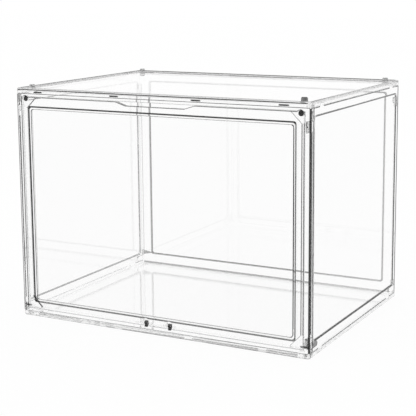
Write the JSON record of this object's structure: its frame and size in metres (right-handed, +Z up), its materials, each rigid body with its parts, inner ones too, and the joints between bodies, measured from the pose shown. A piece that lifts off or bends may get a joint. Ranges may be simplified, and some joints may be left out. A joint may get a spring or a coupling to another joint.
{
  "type": "clear display case",
  "caption": "Clear snap-together display case: stepped panels slot into a rimmed base and a skirted top, with a hinged drop-front door, finger notch and magnet catches.",
  "frame": {"origin": "middle of the underside of the base", "axes": "+X to the right seen from the front, +Y from the door to the back wall, +Z up"},
  "size_m": [0.41, 0.3, 0.3034],
  "materials": {
    "clear_plastic": "clear polished",
    "clip_plastic": "smoked moulded",
    "bush_plastic": "dark moulded",
    "magnet_steel": "dull plated",
    "pin_steel": "ground"
  },
  "bodies": {
    "case": {"base_panel": "clear_plastic", "top_panel": "clear_plastic", "back_panel": "clear_plastic", "left_panel": "clear_plastic", "right_panel": "clear_plastic", "front_frame": "clear_plastic", "frame_magnet_left": "magnet_steel", "frame_magnet_right": "magnet_steel", "hinge_clip_left": "clip_plastic", "hinge_clip_right": "clip_plastic", "hinge_bush_left": "bush_plastic", "hinge_bush_right": "bush_plastic"},
    "door": {"door_panel": "clear_plastic", "door_magnet_left": "magnet_steel", "door_magnet_right": "magnet_steel", "hinge_pin_left": "pin_steel", "hinge_pin_right": "pin_steel", "center_pin_left": "clear_plastic", "center_pin_right": "clear_plastic"}
  },
  "joints": [
    {"name": "door_hinge", "type": "hinge", "parent": "case", "child": "door", "pos_m": [0, -0.147, 0.0135], "axis": [1, 0, 0], "range_deg": [0, 92]}
  ]
}
